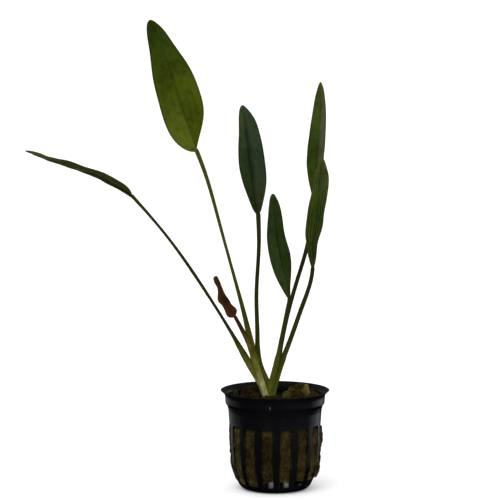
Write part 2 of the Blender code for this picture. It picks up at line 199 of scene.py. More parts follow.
# Each stalk point is x, y, z and radius; each midrib point is x, y, z. Left and right are the half
# widths at stations from base to tip, closer near both ends, seen from the side that the blade faces;
# facing is that side's direction at base and tip. Fold is the angle by which each half rises above flat.
# Veins are shares of the half width, a wave is its height, count and phase, pleats are a count and a
# depth, and crinkle is a height. A sheath has the height of its top, how far it spreads and how pale
# it is.
LEAVES = {
    "tall_leaf": dict(
        slot="blade_light",
        stalk=((-4.7, 1.0, 47.0, 1.7), (-9.3, 2.0, 62.0, 1.6), (-13.6, 4.0, 80.0, 1.24),
               (-20.7, 8.0, 107.0, 0.72), (-29.0, 12.5, 137.0, 0.73), (-36.2, 15.0, 161.2, 0.9),
               (-39.4, 15.6, 169.5, 1.0)),
        midrib=((-42.8, 17.2, 179.1), (-50.6, 21.5, 202.5), (-58.3, 26.8, 224.5), (-63.6, 30.0, 235.5)),
        left=(4.9, 9.1, 10.9, 10.6, 9.7, 7.4, 5.1, 2.75), right=(0.9, 4.9, 9.9, 11.2, 9.95, 6.6, 4.5, 2.1),
        facing=((0.15, -1.0, 0.0), (0.0, -1.0, -0.1)), fold=7.0,
        veins=(0.3, 0.62), wave=(0.5, 2.5, 0.4), crinkle=0.12, sheath=(86.0, 0.3, 1.0)),
    "arching_leaf": dict(
        slot="blade_olive",
        stalk=((-4.8, -0.5, 47.0, 1.5), (-12.1, -1.6, 62.4, 1.6), (-20.9, -3.2, 78.0, 0.9),
               (-37.8, -6.5, 105.8, 0.7), (-54.8, -9.0, 130.3, 0.6), (-64.8, -10.5, 142.5, 0.65),
               (-71.1, -11.3, 149.7, 0.8)),
        midrib=((-77.3, -12.5, 153.7), (-88.8, -15.0, 159.9), (-106.0, -18.7, 166.4), (-123.6, -22.4, 173.3)),
        left=(6.6, 8.0, 7.4, 5.8, 3.4), right=(7.9, 8.6, 7.3, 5.4, 3.3),
        facing=((0.0, -0.12, 1.0), (0.0, -0.12, 1.0)), fold=13.0,
        veins=(0.33, 0.66), wave=(0.25, 3.0, 1.0), crinkle=0.08, sheath=(78.0, 0.1, 0.65)),
    "upright_leaf": dict(
        slot="blade_dark",
        stalk=((-2.5, 2.0, 47.0, 1.5), (-7.7, 5.0, 62.0, 1.3), (-8.9, 6.4, 76.6, 1.05),
               (-9.4, 8.0, 97.8, 0.9), (-8.15, 9.5, 123.5, 0.9), (-8.5, 10.2, 138.1, 1.1)),
        midrib=((-11.2, 11.8, 154.6), (-13.4, 14.0, 170.6), (-16.4, 19.0, 193.0)),
        left=(1.9, 3.3, 4.8, 6.15, 5.45, 3.9, 2.95, 1.75), right=(1.9, 4.0, 6.5, 7.5, 7.5, 6.6, 4.7, 1.85),
        facing=((0.25, -1.0, 0.0), (0.1, -1.0, 0.0)), fold=9.0,
        veins=(0.35, 0.68), wave=(0.4, 2.0, 2.0), crinkle=0.16, sheath=(74.0, 0.1, 0.1)),
    "withered_leaf": dict(
        slot="withered",
        stalk=((-4.7, -2.2, 47.0, 1.3), (-9.4, -4.2, 62.9, 1.1), (-13.1, -5.2, 74.0, 1.1),
               (-20.0, -6.8, 88.3, 0.8)),
        midrib=((-22.9, -7.2, 92.4), (-25.9, -7.6, 97.3), (-28.2, -8.2, 103.5), (-29.7, -8.0, 109.4)),
        left=(1.3, 2.9, 3.6, 2.85, 2.55, 3.35, 1.65, 1.0, 1.7, 1.85, 1.4),
        right=(0.7, 2.3, 2.95, 2.5, 2.55, 2.2, 1.9, 1.6, 1.4, 1.05, 0.65),
        facing=((0.2, -1.0, 0.3), (0.0, -1.0, 0.3)), fold=22.0,
        veins=(0.4,), wave=(0.35, 2.5, 0.0), crinkle=0.3, sheath=(75.0, 0.25, 1.0)),
    "short_leaf": dict(
        slot="blade_dark",
        stalk=((-2.8, -1.4, 47.0, 1.4), (0.4, -3.8, 62.8, 1.2), (2.3, -4.8, 72.1, 1.08),
               (7.1, -6.8, 97.3, 0.85)),
        midrib=((5.1, -7.6, 107.8), (3.0, -8.2, 117.4), (0.4, -8.9, 132.0), (-1.2, -9.0, 150.9)),
        left=(1.3, 2.95, 4.8, 5.45, 5.2, 3.7, 2.5, 1.5), right=(0.9, 1.8, 3.8, 5.25, 4.4, 4.1, 3.2, 1.5),
        facing=((-0.1, -1.0, 0.0), (-0.1, -1.0, 0.0)), fold=10.0,
        veins=(0.35, 0.68), wave=(0.4, 2.5, 1.2), crinkle=0.12, sheath=(70.0, 0.1, 0.0)),
    "rear_leaf": dict(
        slot="blade_olive",
        stalk=((-1.6, 1.6, 47.0, 1.6), (1.0, 3.2, 61.7, 1.4), (4.4, 5.0, 79.8, 1.1),
               (11.8, 8.0, 107.0, 0.9), (16.1, 9.4, 121.8, 0.9), (19.2, 10.8, 141.0, 0.9)),
        midrib=((20.9, 12.6, 157.0), (21.9, 15.0, 172.0), (23.0, 18.0, 187.0), (23.1, 22.0, 204.5)),
        left=(0.6, 2.1, 5.6, 7.1, 6.25, 5.5, 3.65, 1.65), right=(1.2, 3.5, 5.0, 6.3, 5.9, 4.9, 4.1, 1.9),
        facing=((-0.75, -0.66, 0.0), (-0.75, -0.66, 0.0)), fold=10.0,
        veins=(0.35, 0.68), wave=(0.2, 2.0, 0.5), crinkle=0.08, sheath=(70.0, 0.1, 0.0)),
    "front_leaf": dict(
        slot="blade_olive",
        stalk=((-1.35, -0.2, 47.0, 1.5), (2.6, -1.2, 62.4, 1.35), (7.1, -2.4, 74.8, 1.1),
               (13.5, -4.6, 93.4, 1.0), (18.3, -6.5, 109.4, 0.9), (18.7, -6.8, 112.7, 0.9)),
        midrib=((19.0, -8.0, 122.4), (20.3, -10.0, 136.8), (21.6, -12.0, 150.5), (23.1, -15.0, 169.3)),
        left=(1.1, 2.5, 4.2, 5.0, 4.4, 3.4, 2.5, 1.3), right=(1.1, 1.85, 2.35, 3.8, 4.1, 4.95, 3.65, 1.9),
        facing=((-0.25, -1.0, 0.0), (-0.25, -1.0, 0.0)), fold=12.0,
        veins=(), wave=(0.6, 4.0, 0.0), pleats=(3, 0.4), crinkle=0.1, sheath=(70.0, 0.1, 0.0)),
}

# Colours
# Those of the stalks by height: for the sides, then for the middle; the darker sides are partly painted shade
# on the flanks
OLIVE_STOPS = (
    ((44.0, (88, 90, 32)), (60.0, (58, 54, 12)), (84.0, (46, 45, 11)), (165.0, (58, 58, 14))),
    ((46.0, (214, 210, 150)), (54.0, (184, 182, 114)), (60.0, (122, 120, 50)), (68.0, (88, 86, 25)),
     (84.0, (60, 60, 15)), (165.0, (67, 67, 17))),
)
DARK_STOPS = (
    ((44.0, (74, 82, 18)), (62.0, (42, 46, 7)), (100.0, (33, 36, 8)), (165.0, (44, 48, 11))),
    ((44.0, (124, 130, 44)), (60.0, (76, 80, 20)), (76.0, (48, 52, 11)), (110.0, (36, 40, 10)),
     (165.0, (52, 56, 14))),
)
BROWN_STOPS = (
    ((60.0, (58, 54, 12)), (74.0, (50, 46, 11)), (82.0, (46, 28, 11)), (90.0, (45, 26, 11))),
    ((60.0, (128, 126, 60)), (74.0, (84, 80, 25)), (82.0, (53, 33, 13)), (90.0, (50, 30, 13))),
)
# Shares of a blade's length at which its colours are given
COLOUR_STATIONS = (0.12, 0.52, 0.92)
# Finishes of the blades: a name; the left and the right half's colours at those stations; the midrib's
# darkness, half width, and the shares of the length where it starts and fades; where the veins are; and
# their darkness
BLADE_LOOKS = {
    "tall_leaf": ("tall_leaf_green", ((73, 83, 20), (50, 62, 4), (35, 50, 7)),
                  ((57, 66, 4), (59, 71, 7), (37, 52, 7)), (0.7, 0.05, 0.0, 0.45), (0.34, 0.64), 0.88),
    "arching_leaf": ("arching_leaf_green", ((38, 45, 7), (35, 43, 6), (53, 61, 20)),
                     ((40, 48, 8), (37, 45, 7), (55, 63, 22)), (0.75, 0.07, 0.0, 0.8), (0.33, 0.66), 0.8),
    "upright_leaf": ("upright_leaf_green", ((29, 41, 12), (38, 52, 25), (50, 62, 34)),
                     ((42, 51, 29), (42, 55, 36), (44, 57, 34)), (0.62, 0.3, 0.15, 0.76), (0.68,), 0.94),
    "withered_leaf": ("withered_brown", ((63, 35, 14), (60, 38, 10), (64, 41, 16)),
                      ((59, 31, 12), (54, 34, 11), (55, 35, 12)), (0.75, 0.12, 0.0, 0.9), (0.4,), 0.75),
    "short_leaf": ("short_leaf_green", ((45, 58, 21), (38, 52, 20), (35, 47, 19)),
                   ((37, 50, 11), (35, 49, 13), (32, 45, 12)), (0.66, 0.09, 0.0, 0.85), (0.4, 0.7), 0.9),
    # The rear leaf's greyer right half is a painted sheen
    "rear_leaf": ("rear_leaf_green", ((42, 56, 7), (49, 64, 15), (50, 61, 18)),
                  ((61, 68, 29), (67, 73, 47), (60, 66, 31)), (0.68, 0.06, 0.0, 0.9), (0.3, 0.55, 0.8), 0.9),
    # The front leaf's lines lie in its pleats' valleys and are painted shade
    "front_leaf": ("front_leaf_green", ((48, 59, 16), (47, 63, 12), (66, 74, 33)),
                   ((47, 57, 24), (44, 61, 20), (63, 71, 34)), (0.8, 0.06, 0.0, 0.9), (0.143, 0.43, 0.71),
                   0.5),
}


def linear(stops):
    """Stops of a position and a display colour, with their colours made linear."""
    return [(at, tuple(c / 12.92 if c <= 0.04045 else ((c + 0.055) / 1.055) ** 2.4
                       for c in np.divide(colour, 255.0))) for at, colour in stops]


def unit(vectors):
    """Vectors brought to length one."""
    return vectors / np.linalg.norm(vectors, axis=-1, keepdims=True)


def ease(start, end, values):
    """Nought at start and one at end, with a smooth rise between them; end may be the lower of the two."""
    share = np.clip((np.asarray(values) - start) / (end - start), 0.0, 1.0)
    return share * share * (3.0 - 2.0 * share)


def ripple(points, height, wavelength, seed):
    """Smooth bumps: plane waves of about one length added in random directions."""
    random = np.random.default_rng(seed)
    rates = unit(random.normal(size=(RIPPLE_WAVES, 3))).T * (2.0 * math.pi / wavelength)
    rates = rates * random.uniform(0.7, 1.4, RIPPLE_WAVES)
    phases = random.uniform(0.0, 2.0 * math.pi, RIPPLE_WAVES)
    return height * (np.cos(points @ rates + phases).sum(-1) / math.sqrt(RIPPLE_WAVES / 2.0))


def rough(points, ripples):
    """The sum of several ripples."""
    return sum(ripple(points, *each) for each in ripples)


def smooth_path(points, samples):
    """Natural cubic spline through points, by its length, at a count of even steps or at given shares."""
    points = np.asarray(points, dtype=float)
    steps = np.linalg.norm(np.diff(points[:, :3], axis=0), axis=1)
    length = np.concatenate([[0.0], np.cumsum(steps)])
    count = len(points)
    system = np.eye(count)
    bends = np.zeros_like(points)
    for i in range(1, count - 1):
        before, after = steps[i - 1], steps[i]
        system[i, i - 1:i + 2] = (before, 2.0 * (before + after), after)
        bends[i] = 6.0 * ((points[i + 1] - points[i]) / after - (points[i] - points[i - 1]) / before)
    bends = np.linalg.solve(system, bends)
    at = np.linspace(0.0, length[-1], samples) if np.isscalar(samples) else np.asarray(samples) * length[-1]
    span = np.clip(np.searchsorted(length, at, side="right") - 1, 0, count - 2)
    width = steps[span][:, None]
    left = (length[span + 1] - at)[:, None]
    right = (at - length[span])[:, None]
    cubic = (bends[span] * left ** 3 + bends[span + 1] * right ** 3) / (6.0 * width)
    line = (points[span] / width - bends[span] * width / 6.0) * left
    return cubic + line + (points[span + 1] / width - bends[span + 1] * width / 6.0) * right


def round_pot(radius, angle, height):
    """Points at a radius from the pot's axis, an angle in degrees and a height."""
    turn = np.radians(angle)
    return np.stack(np.broadcast_arrays(radius * np.sin(turn), -radius * np.cos(turn), height), axis=-1)


def ball(rows, columns):
    """Points of a ball of radius one, from its top pole to its lower one."""
    tilt = np.linspace(0.0, np.pi, rows)[:, None]
    turn = np.linspace(0.0, 2.0 * np.pi, columns + 1)[None, :-1]
    sides = np.sin(tilt) * np.sin(turn), -np.sin(tilt) * np.cos(turn)
    return np.stack(np.broadcast_arrays(*sides, np.cos(tilt)), axis=-1)


def grid_faces(rows, columns):
    """Four-cornered faces between neighbouring points of a grid, its last column joined to its first."""
    index = np.arange(rows * columns).reshape(rows, columns)
    index = np.hstack([index, index[:, :1]])
    corners = (index[:-1, :-1], index[:-1, 1:], index[1:, 1:], index[1:, :-1])
    return np.stack(corners, axis=-1).reshape(-1, 4)


def surface(points, **traits):
    """A surface of a grid of points: the points, the faces between them and what they carry."""
    return points, grid_faces(*points.shape[:2]), traits


def beside(steps, reference):
    """Unit vectors across a path's steps, square to the reference, and out from both."""
    ahead = unit(steps)
    across = unit(np.cross(ahead, reference))
    return across, np.cross(across, ahead)


def joined(surfaces):
    """Points, faces and traits of several surfaces as those of one."""
    points, faces, traits, start = [], [], {}, 0
    for its_points, its_faces, its_traits in surfaces:
        points.append(its_points.reshape(-1, 3))
        faces.append(its_faces + start)
        start += len(points[-1])
        for name, values in its_traits.items():
            traits.setdefault(name, []).append(np.broadcast_to(values, its_points.shape[:-1]).ravel())
    return np.concatenate(points), np.concatenate(faces), {k: np.concatenate(v) for k, v in traits.items()}


def new_object(name, data):
    """An object in the scene that holds the data."""
    made = bpy.data.objects.new(name, data)
    bpy.context.scene.collection.objects.link(made)
    return made


def make_piece(name, surfaces, material, node=None):
    """A piece that rides on the root, from surfaces in millimetres, its faces turned outward."""
    points, faces, traits = joined(surfaces)
    mesh = bpy.data.meshes.new(name)
    mesh.from_pydata((points * MM).tolist(), [], faces.tolist())
    for trait, values in traits.items():
        attribute = mesh.attributes.new(trait, "FLOAT", "POINT")
        attribute.data.foreach_set("value", values.astype(np.float32))
    bm = bmesh.new()
    bm.from_mesh(mesh)
    bmesh.ops.remove_doubles(bm, verts=bm.verts, dist=MERGE_DISTANCE * MM)
    bmesh.ops.recalc_face_normals(bm, faces=bm.faces)
    bm.to_mesh(mesh)
    bm.free()
    mesh.shade_smooth()
    mesh.materials.append(material)
    piece = new_object(name, mesh)
    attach(piece, "root")
    if node:
        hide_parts(node)


class Nodes:
    """A node tree that is built call by call; a value is a socket, a plain number or a colour."""

    def __init__(self, tree):
        self.tree = tree

    def put(self, socket, value):
        """Link a socket to a value's socket, or set it."""
        if isinstance(value, bpy.types.NodeSocket):
            self.tree.links.new(value, socket)
        elif isinstance(value, tuple) and len(value) == 3 and socket.type == "RGBA":
            socket.default_value = (*value, 1.0)
        else:
            socket.default_value = value

    def add(self, kind, inputs=(), **settings):
        """A node with its settings and inputs."""
        node = self.tree.nodes.new(kind)
        for key, value in settings.items():
            setattr(node, key, value)
        for key, value in dict(inputs).items():
            self.put(node.inputs[key], value)
        return node

    def calc(self, operation, *values):
        """One sum on numbers."""
        return self.add("ShaderNodeMath", enumerate(values), operation=operation).outputs[0]

    def span(self, value, low, high, start=0.0, end=1.0):
        """A number led evenly from the range low to high into start to end, and held at both."""
        inputs = {"Value": value, 1: low, 2: high, 3: start, 4: end}
        return self.add("ShaderNodeMapRange", inputs).outputs[0]

    def ramp(self, value, stops, interpolation="LINEAR"):
        """A colour read off stops of position and colour, or of position and brightness."""
        node = self.add("ShaderNodeValToRGB", {"Fac": value})
        node.color_ramp.interpolation = interpolation
        elements = node.color_ramp.elements
        while len(elements) < len(stops):
            elements.new(0.5)
        for element, (position, colour) in zip(elements, stops):
            element.position = position
            element.color = (*colour, 1.0) if isinstance(colour, tuple) else (colour, colour, colour, 1.0)
        return node.outputs["Color"]


class Finish(Nodes):
    """A material that is built call by call, in the same way."""

    def __init__(self, name):
        self.material = bpy.data.materials.new(name)
        self.material.use_nodes = True
        super().__init__(self.material.node_tree)
        self.shader = self.tree.nodes["Principled BSDF"]
        self.place = self.add("ShaderNodeTexCoord").outputs["Object"]

    def trait(self, name):
        """A number that the mesh carries at its points."""
        return self.add("ShaderNodeAttribute", attribute_name=name).outputs["Fac"]

    def noise(self, scale, detail=3.0, roughness=0.55, stretch=(1.0, 1.0, 1.0), place=None):
        """Cloudy noise from nought to one, in cycles to a metre of the object."""
        spot = self.add("ShaderNodeMapping", {"Vector": place or self.place, "Scale": stretch}).outputs[0]
        settings = {"Vector": spot, "Scale": scale, "Detail": detail, "Roughness": roughness}
        return self.add("ShaderNodeTexNoise", settings).outputs["Fac"]

    def by_height(self, stops):
        """A colour or brightness read off stops of height in millimetres."""
        low, high = stops[0][0], stops[-1][0]
        height = self.add("ShaderNodeSeparateXYZ", {0: self.place}).outputs["Z"]
        share = self.span(height, low * MM, high * MM)
        return self.ramp(share, [((z - low) / (high - low), colour) for z, colour in stops])

    def join(self, x, y):
        """A vector of two numbers."""
        return self.add("ShaderNodeCombineXYZ", {0: x, 1: y}).outputs[0]

    def mix(self, share, first, second, blend="MIX"):
        """Two colours mixed, or the second blended over the first, by a share."""
        node = self.add("ShaderNodeMix", {0: share, 6: first, 7: second}, data_type="RGBA", blend_type=blend)
        return node.outputs[2]

    def shaded(self, colour, value, stops, share=1.0):
        """A colour multiplied, by a share, by the ramp of a value."""
        return self.mix(share, colour, self.ramp(value, stops), "MULTIPLY")

    def bump(self, height, distance, strength, normal=None):
        """Relief from a height, over another relief or none; distance is in millimetres."""
        inputs = {"Height": height, "Distance": distance * MM, "Strength": strength}
        if normal:
            inputs["Normal"] = normal
        return self.add("ShaderNodeBump", inputs).outputs[0]

    def done(self, colour, roughness, specular, normal=None, **constants):
        """Set the shader and hand back the material."""
        self.put(self.shader.inputs["Base Color"], colour)
        self.put(self.shader.inputs["Roughness"], roughness)
        self.put(self.shader.inputs["Specular IOR Level"], specular)
        if normal:
            self.put(self.shader.inputs["Normal"], normal)
        for name, value in constants.items():
            self.put(self.shader.inputs[name.replace("_", " ")], value)
        return self.material


def pot_plastic():
    """Glossy moulded black plastic with soft flow marks and scuffs, duller at its lip, with a painted
    highlight on its gate mark.
    """
    look = Finish("black_moulded_plastic")
    cloud = look.noise(60.0, 2.0)
    scuffs = look.noise(500.0, 3.0, 0.6, (1.0, 1.0, 0.3))
    colour = look.ramp(cloud, ((0.3, (0.0014, 0.0015, 0.0022)), (0.7, (0.0021, 0.0023, 0.0032))))
    # Painted highlight: the gate mark is coloured pale grey
    colour = look.mix(look.trait("scar"), colour, (0.09, 0.09, 0.096))
    worn = look.by_height(((LIP_WEAR[0], 0.0), (LIP_WEAR[1], 0.35)))
    roughness = look.calc("ADD", look.span(scuffs, 0.0, 1.0, 0.2, 0.3), worn)
    waves = look.bump(look.noise(110.0, 1.0), 0.04, 0.4)
    return look.done(colour, roughness, 0.4, waves, Specular_Tint=(0.9, 0.95, 1.0))


def wool_finish(name, tones, grain):
    """Wet mineral fibre: soft clumps of golden brown with a fine felted relief.

    By height it has painted shade, darkest low behind the pot's collar, and painted light on its high lumps
    and at its bottom edge.
    """
    look = Finish(name)
    clumps = look.noise(120.0, 3.0, 0.55)
    felt = look.noise(1900.0, 4.0, 0.7)
    strands = look.noise(1150.0, 4.0, 0.65, (1.0, 1.0, 0.26))
    blend = look.calc("MULTIPLY_ADD", clumps, 0.4, look.calc("MULTIPLY", strands, 0.6))
    colour = look.ramp(blend, linear(zip((0.36, 0.49, 0.62), tones)))
    colour = look.shaded(colour, felt, ((0.35, 0.55), (0.65, 1.25)), 0.85)
    # Painted shade low behind the collar and painted light on the high lumps of the top
    painted_light_by_height = look.by_height(((34.0, 1.0), (40.3, 0.45), (44.44, 0.6), (46.96, 1.4), (51.1, 2.1)))
    # Painted light along the wool's bottom edge in the slots
    painted_hem_light = look.by_height(((6.0, 1.9), (7.68, 1.0)))
    for levels in (painted_light_by_height, painted_hem_light):
        colour = look.mix(1.0, colour, levels, "MULTIPLY")
    # Painted light and shade on the wool's top, and slots paler and darker than the rest
    tone = look.span(look.trait("tone"), -1.0, 1.0)
    colour = look.shaded(colour, tone, ((0.0, (0.34, 0.32, 0.42)), (0.5, 1.0), (1.0, (3.6, 4.0, 4.8))))
    normal = look.bump(felt, 0.18, grain, look.bump(strands, 0.4, grain))
    return look.done(colour, 0.9, 0.05, normal)


def stalk_finish(name, stops, specular=0.04, other=None):
    """A waxy stalk or sheath: greens by height, paler along its middle and darker on its flanks, partly
    painted shade, with fine ridges and streaks.

    Stops are heights in millimetres and display colours, for its two sides and for its middle. Where
    other stops are given, the trait pale mixes from those to these.
    """
    look = Finish(name)
    # Middle is how much the surface faces front or back; its darker flanks are partly painted shade
    inside = look.ramp(look.trait("middle"), ((0.12, 0.0), (0.68, 1.0)), "EASE")

    def greens(pair):
        """Sides and middle mixed, each by height."""
        return look.mix(inside, *(look.by_height(linear(part)) for part in pair))

    colour = greens(stops)
    if other:
        blotches = look.noise(420.0, 3.0, 0.6, (1.0, 1.0, 0.6))
        pale = look.shaded(colour, blotches, ((0.38, 0.5), (0.52, 1.0), (0.66, 1.4)), 0.75)
        colour = look.mix(look.trait("pale"), greens(other), pale)
    place = look.join(look.trait("around"), look.trait("along"))
    streaks = look.noise(1.0, 3.0, 0.6, (9.0, 7.0, 1.0), place)
    colour = look.shaded(colour, streaks, ((0.3, 0.72), (0.7, 1.12)), 0.8)
    colour = look.shaded(colour, look.noise(300.0, 3.0), ((0.35, 0.72), (0.65, 1.1)), 0.5)
    roughness = look.span(streaks, 0.0, 1.0, 0.32, 0.5)
    return look.done(colour, roughness, specular, look.bump(streaks, 0.12, 0.6))


def blade_finish(name, left, right, rib, veins, vein_darkness_and_crease_shade):
    """A leaf: greens of each half at base, middle and tip, a darker rib and veins, streaks and patches.

    The traits are across, from -1 at the left margin to 1 at the right, along, from the base to the
    tip, and under, one below.
    """
    look = Finish(name)
    across, along = look.trait("across"), look.trait("along")
    halves = (look.ramp(along, linear(zip(COLOUR_STATIONS, half))) for half in (left, right))
    colour = look.mix(look.span(across, -0.08, 0.08), *halves)
    apart = look.calc("ABSOLUTE", across)
    darkness, width, low, high = rib
    reach = look.ramp(along, ((low, 0.3), (low + 0.15, 1.0), (high, 1.0), (min(high + 0.25, 1.0), 0.0)))
    colour = look.shaded(colour, apart, ((0.0, darkness), (0.35 * width, darkness), (width, 1.0)), reach)
    fading = look.ramp(along, ((0.03, 1.0), (0.9, 0.3)))
    # Darker lines: veins on most leaves, painted shade in the pleats' valleys on the front leaf
    for vein in veins:
        line = ((vein - 0.06, 1.0), (vein, vein_darkness_and_crease_shade), (vein + 0.06, 1.0))
        colour = look.shaded(colour, apart, line, fading)
    colour = look.shaded(colour, apart, ((0.86, 1.0), (1.0, 0.72)))
    place = look.join(across, along)
    streaks = look.noise(1.0, 3.0, 0.6, (12.0, 4.0, 1.0), place)
    rungs = look.noise(1.0, 2.0, 0.5, (5.0, 60.0, 1.0), place)
    patches = look.noise(75.0, 3.0, 0.55)
    mottle = look.noise(330.0, 3.0, 0.6)
    colour = look.shaded(colour, streaks, ((0.3, 0.82), (0.7, 1.12)), 0.6)
    colour = look.shaded(colour, patches, ((0.34, 0.72), (0.5, 1.0), (0.66, 1.14)))
    colour = look.shaded(colour, mottle, ((0.34, 0.76), (0.46, 1.0), (0.68, 1.1)))
    colour = look.shaded(colour, rungs, ((0.35, 0.86), (0.6, 1.05)), 0.25)
    paler = look.mix(1.0, colour, (1.15, 1.12, 1.3), "MULTIPLY")
    colour = look.mix(look.trait("under"), colour, paler)
    relief = look.calc("MULTIPLY_ADD", rungs, 0.4, streaks)
    normal = look.bump(relief, 0.06, 0.5, look.bump(patches, 0.3, 0.4))
    return look.done(colour, look.span(patches, 0.0, 1.0, 0.34, 0.52), 0.04, normal)


def pot_lines():
    """Length along the pot's outer profile, and radius and height of both sides there.

    Their corners are eased by an average over a short way.
    """
    outside, inside = np.array(POT_OUTSIDE), np.array(POT_INSIDE)
    at = np.concatenate([[0.0], np.cumsum(np.linalg.norm(np.diff(outside, axis=0), axis=1))])
    length = np.linspace(0.0, at[-1], int(at[-1] / PROFILE_STEP))
    raw = np.stack([np.interp(length, at, side[:, k]) for side in (outside, inside) for k in (0, 1)])
    reach = int(3.0 * POT_EASING / PROFILE_STEP)
    weights = np.exp(-0.5 * (np.arange(-reach, reach + 1) * PROFILE_STEP / POT_EASING) ** 2)
    padded = np.pad(raw, ((0, 0), (reach, reach)), "reflect", reflect_type="odd")
    return length, np.stack([np.convolve(row, weights / weights.sum(), "valid") for row in padded])


def turned(angle, length, depth, lines):
    """Points of the pot's wall: an angle, a length along the profile and a share of its thickness."""
    at, eased = lines
    out_radius, out_height, in_radius, in_height = (np.interp(length, at, row) for row in eased)
    radius = out_radius * (1.0 - depth) + in_radius * depth
    return round_pot(radius, angle, out_height * (1.0 - depth) + in_height * depth)


def edge_marks(size):
    """Marks along one side of a panel from -1 to 1, close together over its rounded corners."""
    corner = np.array((0.0, 0.12, 0.3, 0.6, 1.0)) * SLOT_CORNER
    middle = np.linspace(SLOT_CORNER, size - SLOT_CORNER, max(4, int(size / 2.0)))[1:-1]
    marks = np.concatenate([corner, middle, size - corner[::-1]])
    return marks / size * 2.0 - 1.0


def pierced_panel(angle, radius, low, high, lines):
    """One sector of the pot with a rounded opening from length low to high.

    Its loops run in to the opening on the outside, round its eased edge and back out on the inside.
    """
    wide, tall = 2.0 * math.radians(SLOT_HALF_ANGLE) * radius, high - low
    across, up = edge_marks(wide), edge_marks(tall)
    ends, sides = np.ones_like(across), np.ones_like(up)
    loop = np.concatenate([np.stack(line, 1)[:-1] for line in (
        (across, -ends), (sides, up), (across[::-1], ends), (-sides, up[::-1]))])
    half = np.array((wide, tall)) / 2.0
    hole = loop * half
    core = np.clip(hole, -(half - SLOT_CORNER), half - SLOT_CORNER)
    out = hole - core
    far = np.linalg.norm(out, axis=1, keepdims=True)
    in_corner = np.abs(out).min(axis=1, keepdims=True) > 0.0
    hole = np.where(in_corner, core + out / np.maximum(far, 1e-9) * SLOT_CORNER, hole)
    border = loop * (math.radians(SLOT_PITCH / 2.0) * radius, tall / 2.0 + PANEL_BORDER)
    edge = unit(border - hole) * SLOT_EDGE
    share = SLOT_EDGE / WALL_THICKNESS
    middle = 0.5 * (border + hole)
    places = np.array([border, middle, hole + 2.0 * edge, hole + edge, hole + 0.3 * edge, hole])
    depths = np.array([0.0, 0.0, 0.0, 0.0, 0.3 * share, share])
    places = np.concatenate([places, places[::-1]])
    depths = np.concatenate([depths, 1.0 - depths[::-1]])[:, None]
    turn = angle + np.degrees(places[..., 0] / radius)
    return surface(turned(turn, (low + high) / 2.0 + places[..., 1], depths, lines), scar=0.0)


def plain_band(marks, lengths, depths, lines):
    """A turned band of the pot through rows of length and depth, with columns at the panels' marks."""
    angles = (SLOT_ANGLES[:, None] + marks[None, :-1] * SLOT_PITCH / 2.0).ravel()
    return surface(turned(angles[None, :], lengths[:, None], depths[:, None], lines), scar=0.0)


def net_pot():
    """The pot: pierced panels in its wall and floor, plain bands between them, a lip and a gate mark."""
    lines = pot_lines()
    at, eased = lines
    side = at > WALL_START
    low, high = (float(np.interp(height, eased[1][side], at[side])) for height in SLOT_HEIGHTS)
    panels = ((WALL_RADIUS, low, high), (sum(FLOOR_OPENING) / 2.0, *FLOOR_OPENING))
    surfaces = [pierced_panel(angle, *panel, lines) for angle in SLOT_ANGLES for panel in panels]
    wall_marks, floor_marks = (edge_marks(2.0 * math.radians(SLOT_HALF_ANGLE) * panel[0]) for panel in panels)
    middle = np.linspace(0.0, FLOOR_OPENING[0] - PANEL_BORDER, BAND_ROWS[0])
    step = np.linspace(FLOOR_OPENING[1] + PANEL_BORDER, low - PANEL_BORDER, BAND_ROWS[1])
    for marks, lengths in ((floor_marks, middle), (wall_marks, step)):
        surfaces += [plain_band(marks, lengths, np.full_like(lengths, depth), lines) for depth in (0.0, 1.0)]
    top = np.linspace(high + PANEL_BORDER, at[-1], BAND_ROWS[2])
    over_lip = np.concatenate([top, [at[-1]] * 3, top[::-1]])
    depths = np.concatenate([np.zeros_like(top), (0.25, 0.5, 0.75), np.ones_like(top)])
    surfaces += [plain_band(wall_marks, over_lip, depths, lines), gate_mark()]
    make_piece("pot", surfaces, pot_plastic(), "net_pot")


def gate_mark():
    """A small upright nub on the collar, painted pale as a highlight: a ball drawn out along the wall."""
    across, back, up = np.moveaxis(ball(9, 12) * GATE_MARK_SIZE, -1, 0)
    turn = math.radians(GATE_MARK_ANGLE)
    radius = GATE_MARK_PLACE[0] - back
    x = radius * math.sin(turn) + across * math.cos(turn)
    y = -radius * math.cos(turn) + across * math.sin(turn)
    return surface(np.stack([x, y, GATE_MARK_PLACE[1] + up], axis=-1), scar=1.0)


def pot_radius(height, side=POT_INSIDE):
    """Radius of one side of the pot at a height, the inner one unless said otherwise."""
    radii, heights = zip(*side[1:])
    return np.interp(height, heights, radii)


def by_slot(angle, levels, usual):
    """The level of the slot that an angle is in, the usual one where it has none of its own."""
    number = np.floor((angle - FIRST_RIB_ANGLE) / SLOT_PITCH).astype(int) % SLOT_COUNT
    return np.array([levels.get(k, usual) for k in range(SLOT_COUNT)])[number]


def wool_side(angle, height):
    """Radius of the wool at an angle and a height: the pot's inner side, swollen out through each slot."""
    off = np.abs((angle - FIRST_RIB_ANGLE) / SLOT_PITCH % 1.0 - 0.5) * SLOT_PITCH
    low, high = SLOT_HEIGHTS
    open_share = ease(*BULGE_EDGE, off) * ease(low - 0.2, low + 1.6, height)
    open_share = open_share * ease(high - 0.2, high - 1.8, height)
    bulge = by_slot(angle, SLOT_BULGES, WOOL_BULGE) * (1.12 - 0.45 * height / high)
    bumps = np.clip(rough(round_pot(WALL_RADIUS, angle, height), SIDE_RIPPLES), -0.7, 0.6)
    return pot_radius(height) - WOOL_CLEARANCE + open_share * (bulge + bumps)


